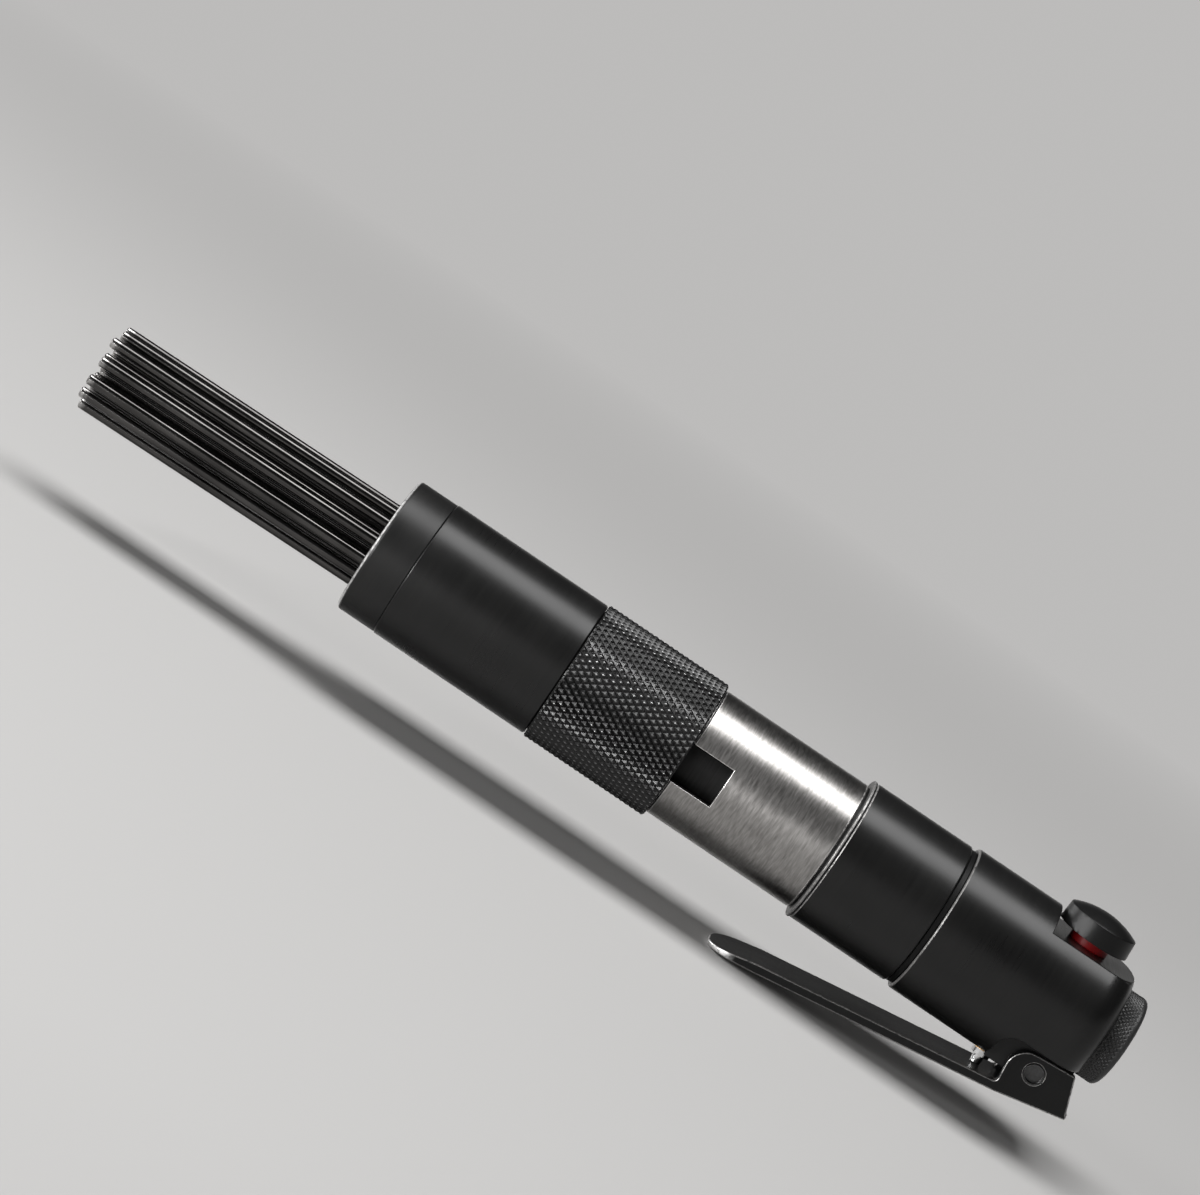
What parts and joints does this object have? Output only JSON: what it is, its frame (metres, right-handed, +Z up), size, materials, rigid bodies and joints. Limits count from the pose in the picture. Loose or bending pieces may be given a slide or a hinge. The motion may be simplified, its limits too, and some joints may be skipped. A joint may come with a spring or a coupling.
{
  "type": "needle scaler",
  "caption": "In-line air needle scaler: steel needles in a black front tube, knurled collar, steel sleeve, handle with squeeze lever below and regulator knob on top.",
  "frame": {"origin": "centre of the air inlet's mouth, at the rear face of the inlet bushing, on the tool's axis", "axes": "+X along the tool's axis out of the air inlet, so the needles point to -X; +Z up through the regulator knob, with the lever below; Y across the tool"},
  "size_m": [0.318, 0.0428, 0.065],
  "materials": {
    "satin_black": "satin black anodised aluminium",
    "nose_black": "matt black anodised aluminium",
    "knurled_black": "black anodised aluminium, diamond knurl",
    "brushed_steel": "turned satin steel",
    "needle_steel": "dark drawn steel wire",
    "lever_black": "black finished pressed steel",
    "knob_black": "satin black anodised aluminium",
    "inlet_black": "black oxidised steel, rough turned",
    "pin_steel": "dark steel",
    "bright_steel": "polished",
    "red_gland": "red anodised",
    "black_rubber": "black rubber",
    "dark_steel": "hardened dark steel",
    "spring_steel": "spring wire",
    "bronze": "bearing bronze"
  },
  "bodies": {
    "housing": {"nose_ring": "nose_black", "front_tube": "satin_black", "return_spring": "spring_steel", "steel_sleeve": "brushed_steel", "barrel": "dark_steel", "anvil_bush": "bronze", "sleeve_seal_ring": "black_rubber", "mid_housing": "satin_black", "valve_block": "dark_steel", "valve_cover": "dark_steel", "handle_seal_ring": "black_rubber", "handle": "satin_black", "inlet_bushing": "inlet_black", "inlet_screen": "bronze", "regulator_gland": "red_gland", "lever_pin": "pin_steel", "valve_spring": "spring_steel", "valve_bush": "bronze", "bush_seal": "black_rubber"},
    "needle_pack": {"needle_holder": "dark_steel", "needle_01": "needle_steel", "needle_02": "needle_steel", "needle_03": "needle_steel", "needle_04": "needle_steel", "needle_05": "needle_steel", "needle_06": "needle_steel", "needle_07": "needle_steel", "needle_08": "needle_steel", "needle_09": "needle_steel", "needle_10": "needle_steel", "needle_11": "needle_steel", "needle_12": "needle_steel", "needle_13": "needle_steel", "needle_14": "needle_steel", "needle_15": "needle_steel", "needle_16": "needle_steel", "needle_17": "needle_steel", "needle_18": "needle_steel", "needle_19": "needle_steel"},
    "anvil": {"anvil": "dark_steel"},
    "collar": {"knurled_collar": "knurled_black"},
    "piston": {"piston": "dark_steel"},
    "valve_disc": {"valve_disc": "dark_steel"},
    "regulator": {"regulator_knob": "knob_black", "regulator_spindle": "dark_steel", "spindle_seal": "black_rubber"},
    "lever": {"throttle_lever": "lever_black"},
    "throttle_valve": {"valve_pin": "bright_steel", "valve_washer": "black_rubber"}
  },
  "joints": [
    {"name": "lever_squeeze", "type": "hinge", "parent": "housing", "child": "lever", "pos_m": [-0.0153, 0, -0.0178], "axis": [0, 1, 0], "range_deg": [0, 8], "stiffness_Nm_per_rad": 2, "springref_deg": -17.19},
    {"name": "valve_lift", "type": "slide", "parent": "housing", "child": "throttle_valve", "axis": [0, 0, 1], "range_m": [0, 0.00195], "deforming": ["valve_spring"]},
    {"name": "regulator_turn", "type": "hinge", "parent": "housing", "child": "regulator", "pos_m": [-0.0218, 0, 0.022], "axis": [0, 0, 1], "range_deg": [0, 90]},
    {"name": "collar_turn", "type": "hinge", "parent": "housing", "child": "collar", "pos_m": [-0.1549, 0, 0], "axis": [1, 0, 0], "range_deg": [0, 360]},
    {"name": "piston_stroke", "type": "slide", "parent": "housing", "child": "piston", "axis": [-1, 0, 0], "range_m": [0, 0.0135]},
    {"name": "needle_stroke", "type": "slide", "parent": "housing", "child": "needle_pack", "axis": [-1, 0, 0], "range_m": [0, 0.008], "stiffness_N_per_m": 1500, "springref_m": -0.008, "deforming": ["return_spring"]},
    {"name": "anvil_stroke", "type": "slide", "parent": "housing", "child": "anvil", "axis": [-1, 0, 0], "range_m": [0, 0.008]},
    {"name": "valve_disc_float", "type": "slide", "parent": "housing", "child": "valve_disc", "axis": [-1, 0, 0], "range_m": [0, 0.0008]}
  ],
  "couplings": [
    {"joint": "valve_lift", "follows": "lever_squeeze", "m_per_rad": 0.01347},
    {"joint": "anvil_stroke", "follows": "needle_stroke", "ratio": 1}
  ]
}
